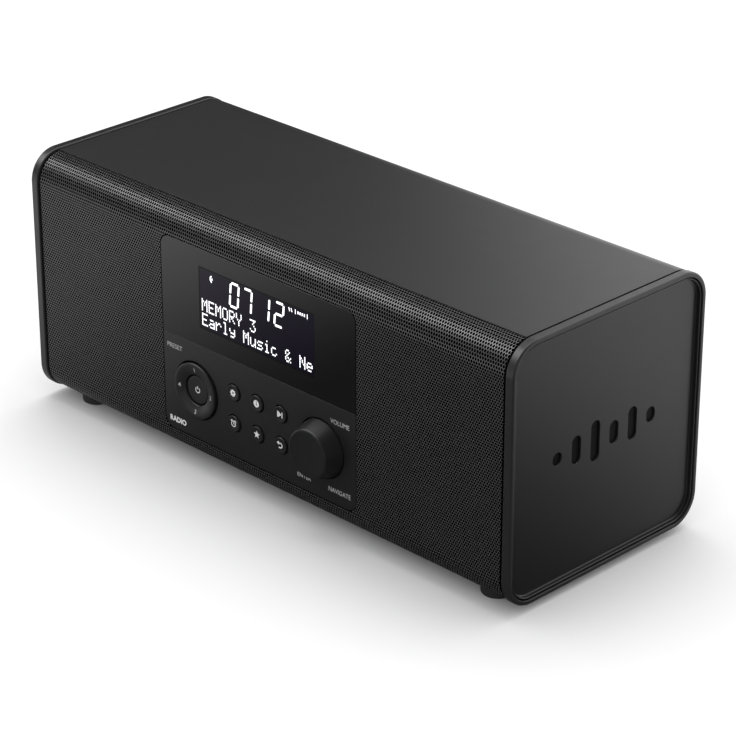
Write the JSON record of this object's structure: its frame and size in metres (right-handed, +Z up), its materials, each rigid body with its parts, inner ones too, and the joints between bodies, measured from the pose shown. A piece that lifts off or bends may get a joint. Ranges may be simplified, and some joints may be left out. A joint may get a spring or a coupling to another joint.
{
  "type": "tabletop radio",
  "caption": "Wide rounded tabletop radio with a perforated front, display panel with keys and a volume knob, stereo speakers and a rear telescopic aerial.",
  "frame": {"origin": "on the surface it stands on, under the middle of the cabinet", "axes": "+X to the right as seen from the front, along the cabinet's length; +Y from the front to the back; +Z up"},
  "size_m": [0.256, 0.1152, 0.1054],
  "materials": {
    "cabinet_plastic": "fine satin texture",
    "baffle_plastic": "moulded black",
    "grille_steel": "black powder coat, perforated",
    "end_cap_plastic": "satin black",
    "side_panel_plastic": "satin black with a soft cove",
    "rear_plastic": "fine spark texture",
    "foot_rubber": "soft matt",
    "panel_plastic": "fine matt texture",
    "window_acrylic": "smoked and polished",
    "lcd_glass": "dark display glass with white segments",
    "backlight_plastic": "white light guide",
    "circuit_board": "green solder mask",
    "switch_plastic": "black",
    "encoder_metal": "plated",
    "plunger_plastic": "ivory acetal",
    "knob_plastic": "satin black",
    "key_plastic": "satin black with white print",
    "basket_steel": "black painted pressing",
    "magnet_ferrite": "ferrite between zinc plates",
    "cone_paper": "pressed paper",
    "surround_rubber": "matt",
    "gasket_foam": "closed-cell foam",
    "can_steel": "tinned",
    "heatsink_aluminium": "bare",
    "capacitor_sleeve": "shrink sleeve",
    "socket_plastic": "black nylon",
    "ribbon_grey": "flat cable",
    "lead_red": "PVC",
    "lead_black": "PVC",
    "aerial_chrome": "polished plating",
    "turret_plastic": "satin black",
    "screw_black": "black oxide",
    "screw_steel": "zinc plated"
  },
  "bodies": {
    "root": {"cabinet_shell": "cabinet_plastic", "front_baffle": "baffle_plastic", "front_grille": "grille_steel", "left_end_cap": "end_cap_plastic", "right_end_cap": "end_cap_plastic", "left_side_panel": "side_panel_plastic", "right_side_panel": "side_panel_plastic", "rear_cover": "rear_plastic", "rubber_feet": "foot_rubber", "control_panel": "panel_plastic", "display_window": "window_acrylic", "lcd_glass": "lcd_glass", "lcd_backlight": "backlight_plastic", "lcd_board": "circuit_board", "front_board": "circuit_board", "key_switches": "switch_plastic", "encoder_body": "encoder_metal", "ring_pivot_post": "plunger_plastic", "left_speaker_basket": "basket_steel", "right_speaker_basket": "basket_steel", "left_speaker_magnet": "magnet_ferrite", "right_speaker_magnet": "magnet_ferrite", "left_speaker_surround": "surround_rubber", "right_speaker_surround": "surround_rubber", "speaker_gaskets": "gasket_foam", "main_board": "circuit_board", "tuner_module": "can_steel", "amplifier_heatsink": "heatsink_aluminium", "capacitors": "capacitor_sleeve", "dc_socket": "socket_plastic", "line_in_socket": "socket_plastic", "headphone_socket": "socket_plastic", "display_ribbon": "ribbon_grey", "speaker_leads": "lead_red", "aerial_lead": "lead_black", "rear_screws": "screw_black", "speaker_screws": "screw_black", "panel_screws": "screw_steel", "board_screws": "screw_steel"},
    "power_button": {"power_button": "key_plastic"},
    "ring_gimbal": {"ring_gimbal": "encoder_metal"},
    "preset_ring": {"preset_ring": "key_plastic"},
    "settings_button": {"settings_button": "key_plastic"},
    "info_button": {"info_button": "key_plastic"},
    "next_button": {"next_button": "key_plastic"},
    "alarm_button": {"alarm_button": "key_plastic"},
    "favourite_button": {"favourite_button": "key_plastic"},
    "back_button": {"back_button": "key_plastic"},
    "volume_push": {"encoder_plunger": "plunger_plastic"},
    "volume_knob": {"encoder_shaft": "encoder_metal", "volume_knob": "knob_plastic"},
    "left_cone": {"left_speaker_cone": "cone_paper"},
    "right_cone": {"right_speaker_cone": "cone_paper"},
    "aerial_turret": {"aerial_turret": "turret_plastic", "aerial_hinge_pin": "screw_steel"},
    "aerial_tube_1": {"aerial_tube_1": "aerial_chrome"},
    "aerial_tube_2": {"aerial_tube_2": "aerial_chrome"},
    "aerial_tube_3": {"aerial_tube_3": "aerial_chrome"},
    "aerial_tube_4": {"aerial_tube_4": "aerial_chrome"},
    "aerial_rod": {"aerial_rod": "aerial_chrome"}
  },
  "joints": [
    {"name": "settings_press", "type": "slide", "parent": "root", "child": "settings_button", "axis": [0, 1, 0], "range_m": [0, 0.0005], "stiffness_N_per_m": 1200},
    {"name": "info_press", "type": "slide", "parent": "root", "child": "info_button", "axis": [0, 1, 0], "range_m": [0, 0.0005], "stiffness_N_per_m": 1200},
    {"name": "next_press", "type": "slide", "parent": "root", "child": "next_button", "axis": [0, 1, 0], "range_m": [0, 0.0005], "stiffness_N_per_m": 1200},
    {"name": "alarm_press", "type": "slide", "parent": "root", "child": "alarm_button", "axis": [0, 1, 0], "range_m": [0, 0.0005], "stiffness_N_per_m": 1200},
    {"name": "favourite_press", "type": "slide", "parent": "root", "child": "favourite_button", "axis": [0, 1, 0], "range_m": [0, 0.0005], "stiffness_N_per_m": 1200},
    {"name": "back_press", "type": "slide", "parent": "root", "child": "back_button", "axis": [0, 1, 0], "range_m": [0, 0.0005], "stiffness_N_per_m": 1200},
    {"name": "power_press", "type": "slide", "parent": "root", "child": "power_button", "axis": [0, 1, 0], "range_m": [0, 0.0006], "stiffness_N_per_m": 1200},
    {"name": "ring_left_right", "type": "hinge", "parent": "root", "child": "ring_gimbal", "pos_m": [-0.034, -0.0446, 0.0345], "axis": [0, 0, 1], "range_deg": [-2, 2], "stiffness_Nm_per_rad": 0.8},
    {"name": "ring_up_down", "type": "hinge", "parent": "ring_gimbal", "child": "preset_ring", "pos_m": [-0.034, -0.0446, 0.0345], "axis": [1, 0, 0], "range_deg": [-2, 2], "stiffness_Nm_per_rad": 0.8},
    {"name": "volume_press", "type": "slide", "parent": "root", "child": "volume_push", "axis": [0, 1, 0], "range_m": [0, 0.0007], "stiffness_N_per_m": 1500},
    {"name": "volume_turn", "type": "hinge", "parent": "volume_push", "child": "volume_knob", "pos_m": [0.034, -0.0504, 0.0345], "axis": [0, 1, 0], "continuous": true},
    {"name": "left_cone_travel", "type": "slide", "parent": "root", "child": "left_cone", "axis": [0, -1, 0], "range_m": [-0.0015, 0.0015], "stiffness_N_per_m": 1200, "deforming": ["left_speaker_surround"]},
    {"name": "right_cone_travel", "type": "slide", "parent": "root", "child": "right_cone", "axis": [0, -1, 0], "range_m": [-0.0015, 0.0015], "stiffness_N_per_m": 1200, "deforming": ["right_speaker_surround"]},
    {"name": "aerial_swivel", "type": "hinge", "parent": "root", "child": "aerial_turret", "pos_m": [0.1, 0.054, 0.0802], "axis": [0, 1, 0], "range_deg": [0, 180]},
    {"name": "aerial_tilt", "type": "hinge", "parent": "aerial_turret", "child": "aerial_tube_1", "pos_m": [0.1, 0.054, 0.0802], "axis": [0, 0, -1], "range_deg": [0, 90]},
    {"name": "aerial_tube_2_draw", "type": "slide", "parent": "aerial_tube_1", "child": "aerial_tube_2", "axis": [-1, 0, 0], "range_m": [0, 0.125]},
    {"name": "aerial_tube_3_draw", "type": "slide", "parent": "aerial_tube_2", "child": "aerial_tube_3", "axis": [-1, 0, 0], "range_m": [0, 0.125]},
    {"name": "aerial_tube_4_draw", "type": "slide", "parent": "aerial_tube_3", "child": "aerial_tube_4", "axis": [-1, 0, 0], "range_m": [0, 0.125]},
    {"name": "aerial_rod_draw", "type": "slide", "parent": "aerial_tube_4", "child": "aerial_rod", "axis": [-1, 0, 0], "range_m": [0, 0.125]}
  ]
}
